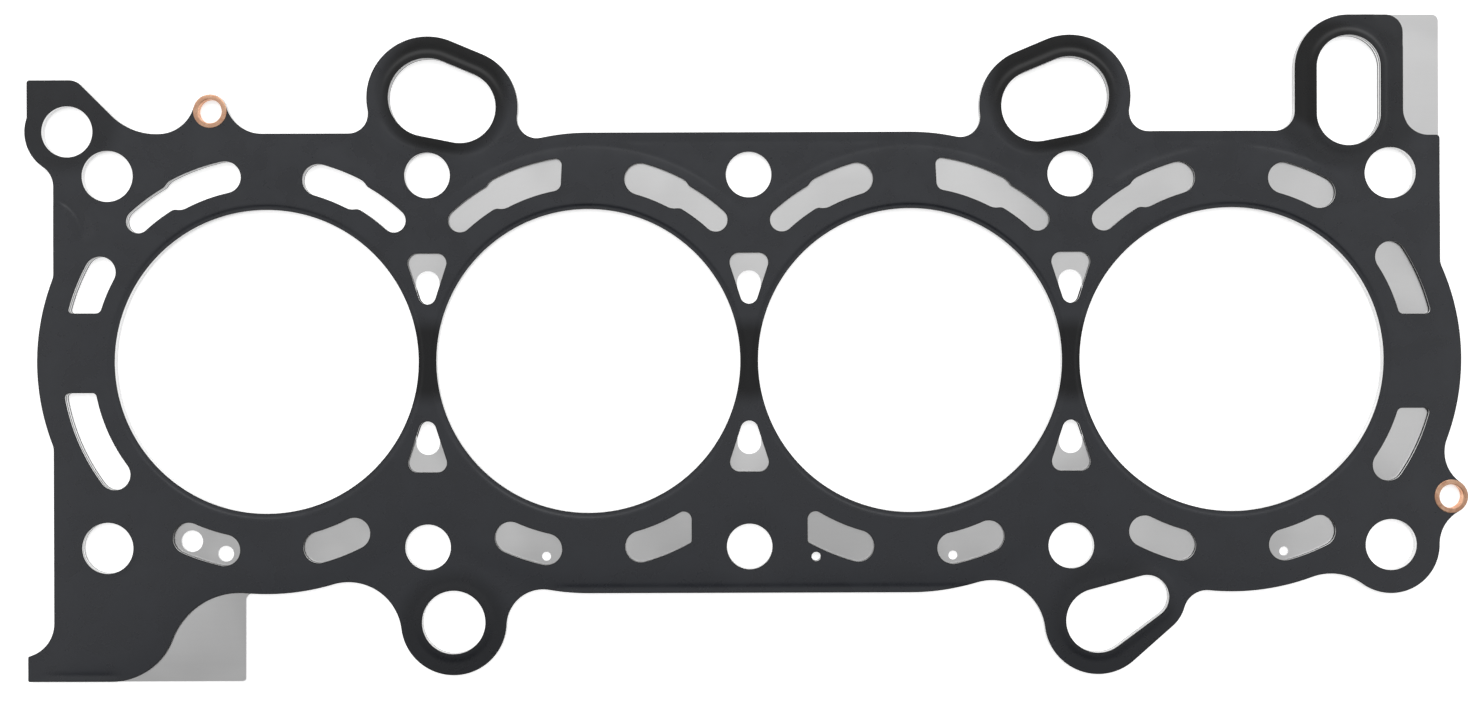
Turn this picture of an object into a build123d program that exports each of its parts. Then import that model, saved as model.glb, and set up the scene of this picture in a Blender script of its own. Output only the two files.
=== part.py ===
import math
import os
from build123d import *

os.makedirs("parts", exist_ok=True)

# Frame: z = 0 on the block face, +X along the row of bores, origin midway
# between the second and third bore. Sizes in millimetres.

# bores and head bolts
bore_pitch = 94.0
bore_land = 5.2
bolt_past_bore = 2.1
bolt_above_bore = 9.95
bolt_d = 13.3
bolt_end_d = 14.9

# layers, free state
sheet_t = 0.25
centre_t = 0.42
bead_h = 0.24

# band round the bores
end_margin = 22.7
bottom_margin = 23.5
top_margin = 22.3
left_bulge = 4.8
right_bulge = 6.1
blend_r = 5.0

bore_d = bore_pitch - bore_land
bore_r = bore_d / 2
bores = [(-1.5 + i) * bore_pitch for i in range(4)]
end_r = bore_r + end_margin
low_r = bore_r + bottom_margin
top_r = bore_r + top_margin
top_y = top_r
left_x = bores[0] - end_r + left_bulge
right_x = bores[3] + end_r - right_bulge
bolt_y = bore_r + bolt_above_bore
bolt_end_x = bores[3] + bore_r + bolt_past_bore

# oil return holes in the lobes on the upper edge
oil_r = 11.45
oil_small_r = 10.45
oil_y = top_y + 10.4
oil_small_y = top_y + 7.5
oil_in = 0.2
oil_small_in = 9.7
rim = 6.4
lobe_blend_r = 5.8

# oblong oil hole near the right end
oblong_r = 9.3
oblong_x = bores[3] + bore_r - 10.1
oblong_low_y = top_y + 5.0
oblong_high_y = oblong_low_y + 13.6
shoulder_y = top_y - 1.3
shoulder_r = 7.5
crown_r = 5.2
crown_rim = 6.7
crown_drop = 0.4

# round oil hole on the lower edge
round_r = 9.25
round_rim = 6.2
round_x = -bore_pitch + 7.45
round_y = -low_r - 8.4
round_blend_out = 15.6
round_blend_in = 10.7

# pear shaped oil hole on the lower edge
pear_r = 9.36
pear_rim = 6.3
pear_x = bore_pitch + 7.8
pear_y = -low_r - 8.4
pear_small_r = 6.37
pear_small_x = pear_x + 14.3
pear_small_y = pear_y + 6.9
pear_small_rim = 5.0
pear_blend_r = 6.85

# corner with the extra bolt hole
corner_hole_x = -bolt_end_x - 11.75
corner_hole_y = top_y + 0.7
corner_rim = 5.0
corner_x = corner_hole_x - 11.75
corner_y = corner_hole_y + 15.1
corner_flat = 14.4
corner_sweep_r = 18.4
corner_blend_r = 7.0

# foot at the lower left
foot_bottom = -low_r - 25.5
foot_step = foot_bottom + 7.1
foot_step_r = 10.1
foot_round_x = left_x + 16.8
foot_round_r = 18.8
foot_sweep_r = 21.3

# riveting ears
ear_r = 4.95
ear_blend_r = 10.8
ear_left_x = bores[0] - 16.4
ear_left_y = top_y + 6.6
ear_right_x = right_x + 3.1
ear_right_y = -bolt_y + 14.05
boss_r = 14.2
boss_blend_r = 15.9

# bare tabs of the centre sheet
tab_right_x = right_x - 0.2
tab_top_r = 1.8
tab_left_x = bores[0] - 6.4
tab_blend_r = 2.0


def meet(c1, d1, c2, d2, side):
    # point at distance d1 from c1 and d2 from c2, left (1) or right (-1) of c1 to c2
    dx = c2[0] - c1[0]
    dy = c2[1] - c1[1]
    d = math.hypot(dx, dy)
    a = (d1 * d1 - d2 * d2 + d * d) / (2 * d)
    h = math.sqrt(max(d1 * d1 - a * a, 0))
    return (c1[0] + (a * dx - side * h * dy) / d, c1[1] + (a * dy + side * h * dx) / d)


def web(c1, r1, c2, r2, r, side):
    # material between two round shapes, up to a concave arc that touches both
    f = meet(c1, r1 + r, c2, r2 + r, side)
    with BuildSketch(mode=Mode.PRIVATE) as fill:
        with BuildLine():
            Polyline(c1, f, c2, close=True)
        make_face()
        with Locations(f):
            Circle(r, mode=Mode.SUBTRACT)
    return fill.sketch


def shelf(c, rc, level, r, side, up=1):
    # material between a round shape and a level edge, up to a concave arc
    fy = level + up * r
    fx = c[0] + side * math.sqrt((rc + r) ** 2 - (fy - c[1]) ** 2)
    with BuildSketch(mode=Mode.PRIVATE) as fill:
        with BuildLine():
            if up * (c[1] - level) > 0:
                Polyline(c, (fx, fy), (fx, level), (c[0], level), close=True)
            else:
                Polyline(c, (fx, fy), (fx, level), close=True)
        make_face()
        with Locations((fx, fy)):
            Circle(r, mode=Mode.SUBTRACT)
    return fill.sketch


def wall(c, rc, x, r, side, out=1):
    # material between a round shape and an upright edge, up to a concave arc
    fx = x + out * r
    fy = c[1] + side * math.sqrt((rc + r) ** 2 - (fx - c[0]) ** 2)
    with BuildSketch(mode=Mode.PRIVATE) as fill:
        with BuildLine():
            if out * (c[0] - x) > 0:
                Polyline(c, (fx, fy), (x, fy), (x, c[1]), close=True)
            else:
                Polyline(c, (fx, fy), (x, fy), close=True)
        make_face()
        with Locations((fx, fy)):
            Circle(r, mode=Mode.SUBTRACT)
    return fill.sketch


def hull(c1, r1, c2, r2):
    # two discs and the straight flanks that touch both
    dx = c2[0] - c1[0]
    dy = c2[1] - c1[1]
    axis = math.atan2(dy, dx)
    turn = math.acos((r1 - r2) / math.hypot(dx, dy))
    ends = []
    for c, r, s in ((c1, r1, 1), (c1, r1, -1), (c2, r2, -1), (c2, r2, 1)):
        a = axis + s * turn
        ends.append((c[0] + r * math.cos(a), c[1] + r * math.sin(a)))
    with BuildSketch(mode=Mode.PRIVATE) as shape:
        with BuildLine():
            Polyline(*ends, close=True)
        make_face()
        with Locations(c1):
            Circle(r1)
        with Locations(c2):
            Circle(r2)
    return shape.sketch


def block(x1, y1, x2, y2):
    with BuildSketch(mode=Mode.PRIVATE) as shape:
        with Locations(((x1 + x2) / 2, (y1 + y2) / 2)):
            Rectangle(abs(x2 - x1), abs(y2 - y1))
    return shape.sketch


def disc(c, r):
    with BuildSketch(mode=Mode.PRIVATE) as shape:
        with Locations(c):
            Circle(r)
    return shape.sketch


bore_1, bore_2, bore_3, bore_4 = [(x, 0) for x in bores]
oil_left = (-bore_pitch + oil_in, oil_y)
oil_left_small = (-bore_pitch + oil_small_in, oil_small_y)
oil_right = (bore_pitch - oil_in, oil_y)
oil_right_small = (bore_pitch - oil_small_in, oil_small_y)
oblong_low = (oblong_x, oblong_low_y)
oblong_high = (oblong_x, oblong_high_y)
round_hole = (round_x, round_y)
pear = (pear_x, pear_y)
pear_small = (pear_small_x, pear_small_y)
corner_hole = (corner_hole_x, corner_hole_y)
corner_boss_r = bolt_end_d / 2 + corner_rim
ear_left = (ear_left_x, ear_left_y)
ear_right = (ear_right_x, ear_right_y)
bolt_low_right = (bolt_end_x, -bolt_y)
foot_round = (foot_round_x, foot_bottom + foot_round_r)
crown = (oblong_x, oblong_high_y - crown_drop)
crown_top = crown[1] + oblong_r + rim
crown_right = oblong_x + oblong_r + crown_rim
crown_left = oblong_x - oblong_r - rim

with BuildSketch() as rough:
    # band round the bores
    add(block(left_x, 0, -bore_pitch, top_y))
    add(block(left_x, 0, bores[0], -bolt_y - 5))
    add(block(bores[0], -bolt_y - 5, bores[3], bolt_y + 5))
    add(block(bore_pitch, 0, bores[3], top_y))
    add(block(bores[3], -bolt_y, bolt_end_x + 12, shoulder_y))
    add(block(bolt_end_x, 0, right_x, shoulder_y))
    add(block(bores[3], shoulder_y - 5, oblong_x, top_y))
    add(block(bores[1], -low_r, bores[2], top_y))
    for c in (bore_2, bore_3):
        add(disc(c, top_r))
    with BuildSketch(mode=Mode.PRIVATE) as ends:
        with Locations(bore_1, bore_4):
            Circle(end_r)
        Rectangle(6 * bore_pitch, 2 * bore_r, mode=Mode.INTERSECT)
    add(ends.sketch)
    with BuildSketch(mode=Mode.PRIVATE) as belly:
        for c in (bore_1, bore_2, bore_3, bore_4):
            with Locations(c):
                Circle(low_r)
        with Locations((0, 0)):
            Rectangle(6 * bore_pitch, 2 * bore_r, mode=Mode.SUBTRACT)
        with Locations((0, low_r)):
            Rectangle(6 * bore_pitch, 2 * low_r, mode=Mode.SUBTRACT)
    add(belly.sketch)
    add(wall(bore_1, end_r, left_x, blend_r, 1, -1))
    add(wall(bore_1, end_r, left_x, blend_r, -1, -1))
    add(wall(bore_4, end_r, right_x, blend_r, 1, 1))
    # lobes on the upper edge
    add(hull(oil_left, oil_r + rim, oil_left_small, oil_small_r + rim))
    add(shelf(oil_left, oil_r + rim, top_y, lobe_blend_r, -1))
    add(web(oil_left_small, oil_small_r + rim, bore_2, top_r, lobe_blend_r, 1))
    add(hull(oil_right, oil_r + rim, oil_right_small, oil_small_r + rim))
    add(shelf(oil_right, oil_r + rim, top_y, lobe_blend_r, 1))
    add(web(oil_right_small, oil_small_r + rim, bore_3, top_r, lobe_blend_r, -1))
    # oblong lobe
    add(disc(crown, oblong_r + rim))
    add(block(crown_left, 0, oblong_x, crown[1]))
    with BuildSketch(mode=Mode.PRIVATE) as crown_side:
        with Locations(((oblong_x + crown_right) / 2, crown_top / 2)):
            Rectangle(crown_right - oblong_x, crown_top)
        fillet(crown_side.vertices().group_by(Axis.X)[-1].group_by(Axis.Y)[-1], crown_r)
    add(crown_side.sketch)
    with BuildSketch(mode=Mode.PRIVATE) as corners:
        add(block(crown_left - lobe_blend_r, top_y - 1, crown_left, top_y + lobe_blend_r))
        add(block(crown_right, shoulder_y - 1, crown_right + shoulder_r, shoulder_y + shoulder_r))
        with Locations((crown_left - lobe_blend_r, top_y + lobe_blend_r)):
            Circle(lobe_blend_r, mode=Mode.SUBTRACT)
        with Locations((crown_right + shoulder_r, shoulder_y + shoulder_r)):
            Circle(shoulder_r, mode=Mode.SUBTRACT)
    add(corners.sketch)
    # lobes on the lower edge
    add(disc(round_hole, round_r + round_rim))
    add(web(bore_1, low_r, round_hole, round_r + round_rim, round_blend_out, -1))
    add(web(round_hole, round_r + round_rim, bore_2, low_r, round_blend_in, -1))
    add(hull(pear, pear_r + pear_rim, pear_small, pear_small_r + pear_small_rim))
    add(web(bore_3, low_r, pear, pear_r + pear_rim, round_blend_out, -1))
    add(web(pear_small, pear_small_r + pear_small_rim, bore_4, low_r, pear_blend_r, -1))
    # corner with the extra bolt hole
    with BuildSketch(mode=Mode.PRIVATE) as corner:
        with BuildLine():
            Polyline(
                (corner_x, corner_hole_y + 3.9),
                (corner_x, corner_y),
                (corner_x + corner_flat, corner_y),
                (corner_x + corner_flat + corner_y - top_y, top_y),
                (bores[0], top_y),
                (bores[0], bore_r),
                (corner_hole_x, corner_hole_y),
                close=True,
            )
        make_face()
        fillet(corner.vertices().sort_by_distance((corner_x, corner_y))[0], 0.8)
        fillet(corner.vertices().sort_by_distance((corner_x + corner_flat, corner_y))[0], 5.0)
        knee = (corner_x + corner_flat + corner_y - top_y, top_y)
        fillet(corner.vertices().sort_by_distance(knee)[0], corner_sweep_r)
    add(corner.sketch)
    add(disc(corner_hole, corner_boss_r))
    add(wall(corner_hole, corner_boss_r, left_x, corner_blend_r, -1, -1))
    # foot
    add(block(left_x, 0, foot_round_x, foot_bottom))
    add(block(corner_x, foot_step, foot_round_x, foot_bottom))
    with BuildSketch(mode=Mode.PRIVATE) as toe:
        add(disc(foot_round, foot_round_r))
        add(block(corner_x, -bore_r, foot_round_x, foot_bottom - 1), mode=Mode.SUBTRACT)
    add(toe.sketch)
    add(web(foot_round, foot_round_r, bore_1, low_r, foot_sweep_r, -1))
    with BuildSketch(mode=Mode.PRIVATE) as heel:
        add(block(corner_x, foot_step - 1, left_x, foot_step + foot_step_r))
        with Locations((left_x - foot_step_r, foot_step + foot_step_r)):
            Circle(foot_step_r, mode=Mode.SUBTRACT)
    add(heel.sketch)
    # ears and the lower right bolt boss
    add(disc(ear_left, ear_r))
    add(shelf(ear_left, ear_r, top_y, ear_blend_r, -1))
    add(shelf(ear_left, ear_r, top_y, ear_blend_r, 1))
    add(disc(bolt_low_right, boss_r))
    add(web(bore_4, low_r, bolt_low_right, boss_r, boss_blend_r, -1))
    add(disc(ear_right, ear_r))
    add(web(bolt_low_right, boss_r, ear_right, ear_r, ear_blend_r, -1))
    add(web(ear_right, ear_r, bore_4, end_r, ear_blend_r, -1))


with BuildSketch() as outline:
    # only the outer wire counts, so no gap is left between the blends
    make_face(rough.face().outer_wire().edges())
    corners = [
        (corner_x, corner_hole_y + 4.0, 1.5),
        (corner_x, foot_step, 0.5),
        (corner_x, foot_bottom, 0.5),
        (right_x, shoulder_y, 1.0),
    ]
    for x, y, r in corners:
        fillet(outline.vertices().sort_by_distance((x, y))[0], r)


def arc_slot(c, r, width, a1, a2):
    # round ended slot that follows a bore, between two end angles
    with BuildSketch(mode=Mode.PRIVATE) as slot:
        with BuildLine():
            path = CenterArc(c, r, a1, a2 - a1)
        SlotArc(path, width)
    return slot.sketch


def upright(points, radii):
    # straight sided shape with a rounding given for each corner, 0 for none
    with BuildSketch(mode=Mode.PRIVATE) as shape:
        with BuildLine():
            Polyline(*points, close=True)
        make_face()
        for point, r in zip(points, radii):
            if r > 0:
                fillet(shape.vertices().sort_by_distance(point)[0], r)
    return shape.sketch


# windows over the coolant passages: radii of their middle line and widths
wide_mid = bore_r + 10.85
wide_w = 9.3
narrow_mid = bore_r + 11.15
narrow_w = 6.9
low_mid = bore_r + 11.95
low_w = 9.2
side_mid = bore_r + 10.75
side_w = 9.1
narrow_end = 47.75
step_at = 60.0
short_end = 73.9
long_end = 77.5
square_at = 7.7
square_lean = 0.9


def polar(c, r, a):
    return (c[0] + r * math.cos(math.radians(a)), c[1] + r * math.sin(math.radians(a)))


def stepped(c, side, end):
    # window that gets wider part way up, mirrored for side -1
    with BuildSketch(mode=Mode.PRIVATE) as shape:
        add(arc_slot((0, 0), narrow_mid, narrow_w, narrow_end, step_at + 3))
        add(arc_slot((0, 0), wide_mid, wide_w, step_at + 2.7, end))
        for r in (narrow_mid - narrow_w / 2, narrow_mid + narrow_w / 2):
            corner = shape.vertices().sort_by_distance(polar((0, 0), r, step_at))[0]
            fillet(corner, 2.2)
    out = shape.sketch if side > 0 else shape.sketch.mirror(Plane.YZ)
    return out.moved(Location((c[0], c[1], 0)))


def squared(c, side):
    # stepped window whose wide end is cut off square next to the bore centre line
    lead = polar((0, 0), wide_mid, 90)
    with BuildSketch(mode=Mode.PRIVATE) as shape:
        add(stepped((0, 0), 1, 90))
        with BuildSketch(mode=Mode.PRIVATE) as cut:
            with BuildLine():
                Polyline(
                    (square_at + square_lean / 2, lead[1] - wide_w),
                    (square_at - square_lean / 2, lead[1] + wide_w),
                    (-wide_w, lead[1] + wide_w),
                    (-wide_w, lead[1] - wide_w),
                    close=True,
                )
            make_face()
        add(cut.sketch, mode=Mode.SUBTRACT)
        low = shape.vertices().sort_by_distance((square_at, lead[1] - wide_w / 2))[0]
        fillet(low, 2.4)
        high = shape.vertices().sort_by_distance((square_at, lead[1] + wide_w / 2))[0]
        fillet(high, 1.9)
    out = shape.sketch if side > 0 else shape.sketch.mirror(Plane.YZ)
    return out.moved(Location((c[0], c[1], 0)))


def cut_short(c, r, width, a_round, a_past, keep, corner_in, corner_out):
    # window with one round end and one end cut along a straight line
    with BuildSketch(mode=Mode.PRIVATE) as shape:
        add(arc_slot(c, r, width, a_round, a_past))
        add(keep, mode=Mode.INTERSECT)
        flat = shape.edges().filter_by(GeomType.LINE).sort_by(SortBy.LENGTH)[-1]
        ends = flat.vertices().sort_by_distance((c[0], c[1], 0))
        inner = (ends[0].X, ends[0].Y)
        outer = (ends[1].X, ends[1].Y)
        fillet(shape.vertices().sort_by_distance(inner)[0], corner_in)
        fillet(shape.vertices().sort_by_distance(outer)[0], corner_out)
    return shape.sketch


web_tip = 16.6
web_flat = 31.5
web_half = 5.65
web_tip_r = 2.55
web_corner_r = 2.8
web_shift = 0.95


def web_window(x, side):
    tip = web_tip + web_tip_r + (web_shift if side < 0 else 0)
    wide = web_flat - web_corner_r + (web_shift if side < 0 else 0)
    with BuildSketch(mode=Mode.PRIVATE) as shape:
        with Locations((x, side * tip)):
            Circle(web_tip_r)
        with Locations(
            (x - web_half + web_corner_r, side * wide),
            (x + web_half - web_corner_r, side * wide),
        ):
            Circle(web_corner_r)
        make_hull()
    return shape.sketch


# openings that go through the three sheets in the same shape
columns = (-bore_pitch, 0.0, bore_pitch)
bolts_low = [(x, -bolt_y) for x in (-bolt_end_x, -bore_pitch, 0, bore_pitch, bolt_end_x)]
bolts_high = [(x, bolt_y) for x in (-bolt_end_x, -bore_pitch, 0, bore_pitch, bolt_end_x)]
drain_hole = (19.4, -bolt_y - 2.95)
drain_hole_d = 2.7
far_x = 3 * bore_pitch
above_left = block(-far_x, 14.3, bores[0], top_y)
below_left = block(-far_x, -9.0, bores[0], -low_r)
above_right = block(bores[3], 13.1, far_x, top_y)
below_right = block(bores[3], -14.4, far_x, -low_r)
low_cut = bore_pitch / 2 - 16.95
below_2 = block(bores[1], -bore_r / 2, bores[1] + low_cut, -bore_pitch)
below_3 = block(bores[2], -bore_r / 2, bores[2] - low_cut, -bore_pitch)
side_high_left = cut_short(bore_1, side_mid, side_w, 151.5, 172, above_left, 1.8, 1.0)
side_low_left = cut_short(bore_1, side_mid, side_w, 216.5, 180, below_left, 1.2, 1.4)

with BuildSketch() as through:
    with Locations(bore_1, bore_2, bore_3, bore_4):
        Circle(bore_r)
    with Locations(*bolts_low[1:4], *bolts_high[1:4]):
        Circle(bolt_d / 2)
    with Locations(bolts_low[0], bolts_low[4], bolts_high[0], bolts_high[4], corner_hole):
        Circle(bolt_end_d / 2)
    add(hull(oil_left, oil_r, oil_left_small, oil_small_r))
    add(hull(oil_right, oil_r, oil_right_small, oil_small_r))
    add(hull(oblong_low, oblong_r, oblong_high, oblong_r - 0.001))
    with Locations(round_hole):
        Circle(round_r)
    add(hull(pear, pear_r, pear_small, pear_small_r))
    with Locations(drain_hole):
        Circle(drain_hole_d / 2)
    add(stepped(bore_1, -1, long_end))
    add(stepped(bore_1, 1, short_end))
    add(side_high_left)
    add(side_low_left)

# windows that the centre sheet closes or narrows
with BuildSketch() as closed:
    add(squared(bore_2, -1))
    add(stepped(bore_2, 1, short_end))
    add(stepped(bore_3, -1, short_end))
    add(squared(bore_3, 1))
    add(stepped(bore_4, -1, short_end))
    add(arc_slot(bore_4, side_mid - 0.1, side_w + 0.1, 62.1, short_end))
    add(cut_short(bore_4, side_mid, side_w, 32.7, 5, above_right, 1.6, 1.3))
    add(cut_short(bore_4, side_mid, side_w, -34.3, 0, below_right, 1.6, 1.3))
    for c, side in ((bore_1, 1), (bore_4, -1), (bore_4, 1)):
        a1, a2 = (-74.3, -63.0) if side > 0 else (-105.7, -117.0)
        add(arc_slot(c, low_mid, low_w, a1, a2))
    for c, side in ((bore_1, -1), (bore_2, -1), (bore_3, 1)):
        a1, a2 = (-77.3, -66.1) if side > 0 else (-102.7, -113.9)
        add(arc_slot(c, low_mid, low_w, a1, a2))
    add(cut_short(bore_2, low_mid, low_w, -74.3, -45, below_2, 2.3, 0.9))
    add(cut_short(bore_3, low_mid, low_w, -105.7, -135, below_3, 2.3, 0.9))
    for x in columns:
        add(web_window(x, 1))
        add(web_window(x, -1))

# holes of the centre sheet inside those windows
vent_w = 6.9
vent_len = 10.0
bleed_d = 2.6
first_bleeds = [(0.52, -112.87, 6.3), (1.06, -102.27, 4.6)]
with BuildSketch() as metered:
    for x in columns:
        for side, y in ((1, web_tip - 0.2), (-1, web_tip + web_shift - 0.2)):
            with Locations((x, side * (y + vent_len / 2))):
                SlotOverall(vent_len, vent_w, rotation=90)
    with Locations(
        polar(bore_2, low_mid + 2.1, -102.3),
        polar(bore_3, low_mid + 2.1, -77.7),
        polar(bore_4, low_mid + 1.9, -74.8),
    ):
        Circle(bleed_d / 2)
    for out, a, d in first_bleeds:
        with Locations(polar(bore_1, low_mid + out, a)):
            Circle(d / 2)

# eyelet sizes
eyelet_d = 9.8
eyelet_hole_d = 6.9
eyelet_wall = 0.35
eyelet_gap = 0.05
eyelet_sunk = 0.04
eyelet_flange = bead_h - eyelet_sunk
eyelet_mouth_r = 0.7 * eyelet_wall
eyelet_edge_r = 0.4 * eyelet_flange
rivet_hole_r = eyelet_hole_d / 2 + eyelet_wall + eyelet_gap

with BuildSketch() as beaded_plan:
    add(outline.sketch)
    add(through.sketch, mode=Mode.SUBTRACT)
    add(closed.sketch, mode=Mode.SUBTRACT)
    with Locations(ear_left, ear_right):
        Circle(rivet_hole_r, mode=Mode.SUBTRACT)

with BuildSketch() as centre_plan:
    add(outline.sketch)
    with BuildSketch(mode=Mode.PRIVATE) as tabs:
        add(block(oblong_x, shoulder_y - 5, tab_right_x, crown_top))
        fillet(tabs.vertices().sort_by_distance((tab_right_x, crown_top))[0], tab_top_r)
        add(block(foot_round_x, foot_bottom, tab_left_x, -bore_r))
        fillet(tabs.vertices().sort_by_distance((tab_left_x, foot_bottom))[0], 1.0)
    add(tabs.sketch)
    add(wall(bore_1, low_r, tab_left_x, tab_blend_r, -1, 1))
    add(through.sketch, mode=Mode.SUBTRACT)
    add(metered.sketch, mode=Mode.SUBTRACT)
    with Locations(ear_left, ear_right):
        Circle(rivet_hole_r, mode=Mode.SUBTRACT)

# heights of the layers
centre_z = sheet_t + bead_h
upper_z = centre_z + centre_t
low_top = upper_z + sheet_t
face_top = low_top + bead_h

# pressed relief of the beaded sheets. The field round the coolant windows and
# the lips of the oil holes stand proud and touch the head; the bore lips, the
# bolt seats, the lobes and the ears stay down on the centre sheet.
field_run = 1.5
lip_run = 1.3
lip_flat = 0.35
ring_run = 1.0
ring_out = 2.7
ring_in = 0.1
ring_in_run = 0.7
field_high_r = bore_r + 19.0
field_first_r = bore_r + 20.2
field_low_r = bore_r + 21.5
seat_r = 9.5
seat_small_r = 8.0
seat_cut = 1.3
edge_set = 2.0
strip_w = 2.4

with BuildSketch() as inset:
    add(outline.sketch)
    offset(amount=-edge_set, kind=Kind.ARC)

with BuildSketch() as field:
    with BuildSketch(mode=Mode.PRIVATE) as upper_half:
        add(disc(bore_1, field_first_r))
        for c in (bore_2, bore_3, bore_4):
            add(disc(c, field_high_r))
        add(block(-3 * bore_pitch, 0, 3 * bore_pitch, -bore_pitch), mode=Mode.SUBTRACT)
    with BuildSketch(mode=Mode.PRIVATE) as lower_half:
        for c in (bore_1, bore_2, bore_3, bore_4):
            add(disc(c, field_low_r))
        add(block(-3 * bore_pitch, 0, 3 * bore_pitch, bore_pitch), mode=Mode.SUBTRACT)
    add(upper_half.sketch)
    add(lower_half.sketch)
    add(block(bores[1], 0, bores[2], -field_low_r))
    inner_y = bolt_y - seat_r + seat_cut
    add(block(bores[0], -inner_y, bores[3], inner_y))
    # left end, up to the seat of the two corner bolts
    add(upright(
        [
            (left_x - 12, 0),
            (left_x - 12, corner_hole_y - 8.5),
            (corner_hole_x - 6.5, corner_hole_y - 8.5),
            (corner_hole_x - 3.0, corner_hole_y - 13.7),
            (corner_hole_x - 1.0, corner_hole_y - 21.0),
            (corner_hole_x + 3.6, corner_hole_y - 29.6),
            (bores[0], 0),
        ],
        [0, 0, 0, 0, 0, 0, 0],
    ))
    add(block(left_x - 12, 0, bores[0], foot_step + foot_step_r))
    add(block(left_x + edge_set, -bolt_y, bores[0], foot_bottom))
    # right end
    add(block(bores[3], -inner_y, right_x + 12, inner_y))
    add(inset.sketch, mode=Mode.INTERSECT)

with BuildSketch() as rims:
    add(block(bores[1] - 11, top_y - strip_w, bores[2] + 11, top_y + 5))
    add(block(bore_pitch + 24, top_y - strip_w, crown_left - 9, top_y + 5))


def ring_plan(extra):
    with BuildSketch(mode=Mode.PRIVATE) as plan:
        add(hull(oil_left, oil_r + extra, oil_left_small, oil_small_r + extra))
        add(hull(oil_right, oil_r + extra, oil_right_small, oil_small_r + extra))
        add(hull(oblong_low, oblong_r + extra, oblong_high, oblong_r + extra - 0.001))
        add(disc(round_hole, round_r + extra))
        add(hull(pear, pear_r + extra, pear_small, pear_small_r + extra))
    return plan.sketch


def slope(run, rise):
    return math.degrees(math.atan(run / rise))


with BuildPart() as relief:
    with BuildSketch(Plane.XY.offset(centre_z)):
        Rectangle(5 * bore_pitch, 3 * bore_pitch)
    extrude(amount=low_top - centre_z)
    with BuildSketch(Plane.XY.offset(low_top)):
        add(field.sketch)
    extrude(amount=bead_h, taper=slope(field_run, bead_h))
    seats = bolts_high + bolts_low + [ear_left, ear_right]
    seats.remove(bolts_low[2])
    with Locations(*[(x, y, low_top + bead_h / 2) for x, y in seats]):
        Cone(seat_r, seat_r + field_run, bead_h, mode=Mode.SUBTRACT)
    with Locations((bolts_low[2][0], bolts_low[2][1], low_top + bead_h / 2)):
        Cone(seat_small_r, seat_small_r + field_run, bead_h, mode=Mode.SUBTRACT)
    with BuildSketch(Plane.XY.offset(low_top)):
        add(rims.sketch)
    extrude(amount=bead_h, taper=slope(ring_run / 2, bead_h))
    with BuildSketch(Plane.XY.offset(low_top)):
        add(ring_plan(ring_out))
    extrude(amount=bead_h, taper=slope(ring_run, bead_h))
    with BuildSketch(Plane.XY.offset(low_top + bead_h / 3)):
        add(ring_plan(ring_in))
    extrude(amount=bead_h, taper=-slope(ring_in_run, bead_h * 2 / 3), mode=Mode.SUBTRACT)
    with Locations(*[(x, 0, low_top + bead_h) for x in bores]):
        Cone(bore_r + lip_flat, bore_r + lip_flat + 2 * lip_run, 2 * bead_h, mode=Mode.SUBTRACT)

with BuildPart() as upper_sheet:
    with BuildSketch(Plane.XY.offset(upper_z)):
        add(beaded_plan.sketch)
    extrude(amount=face_top - upper_z)
    add(relief.part, mode=Mode.INTERSECT)
    add(relief.part.moved(Location((0, 0, -sheet_t))), mode=Mode.SUBTRACT)

upper_sheet.part.label = "upper_sheet"
export_step(upper_sheet.part, "parts/upper_sheet.step")

with BuildPart() as centre_sheet:
    with BuildSketch(Plane.XY.offset(centre_z)):
        add(centre_plan.sketch)
    extrude(amount=centre_t)

centre_sheet.part.label = "centre_sheet"
export_step(centre_sheet.part, "parts/centre_sheet.step")

# the lower sheet is the upper one turned over
with BuildPart() as lower_sheet:
    add(upper_sheet.part.mirror(Plane.XY.offset(centre_z + centre_t / 2)).fix())

lower_sheet.part.label = "lower_sheet"
export_step(lower_sheet.part, "parts/lower_sheet.step")

# eyelet: a tube with a flange turned out over each ear, rolled at the mouth
eyelet_in = eyelet_hole_d / 2
eyelet_out = eyelet_d / 2
eyelet_low = centre_z - sheet_t - eyelet_flange
eyelet_high = upper_z + sheet_t + eyelet_flange
with BuildPart(mode=Mode.PRIVATE) as eyelet:
    with BuildSketch(Plane.XZ) as half:
        with BuildLine():
            Polyline(
                (eyelet_in, eyelet_low),
                (eyelet_out, eyelet_low),
                (eyelet_out, eyelet_low + eyelet_flange),
                (eyelet_in + eyelet_wall, eyelet_low + eyelet_flange),
                (eyelet_in + eyelet_wall, eyelet_high - eyelet_flange),
                (eyelet_out, eyelet_high - eyelet_flange),
                (eyelet_out, eyelet_high),
                (eyelet_in, eyelet_high),
                close=True,
            )
        make_face()
        fillet(half.vertices().group_by(Axis.X)[0], eyelet_mouth_r)
        fillet(half.vertices().group_by(Axis.X)[-1], eyelet_edge_r)
    revolve(axis=Axis.Z)

with BuildPart() as eyelet_left:
    add(eyelet.part.moved(Location((ear_left_x, ear_left_y, 0))))

eyelet_left.part.label = "eyelet_left"
export_step(eyelet_left.part, "parts/eyelet_left.step")

with BuildPart() as eyelet_right:
    add(eyelet.part.moved(Location((ear_right_x, ear_right_y, 0))))

eyelet_right.part.label = "eyelet_right"
export_step(eyelet_right.part, "parts/eyelet_right.step")
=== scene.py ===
import math

import bmesh
import bpy
import numpy as np
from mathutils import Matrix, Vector
from mathutils.bvhtree import BVHTree
from mathutils.geometry import delaunay_2d_cdt
from mathutils.kdtree import KDTree


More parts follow.
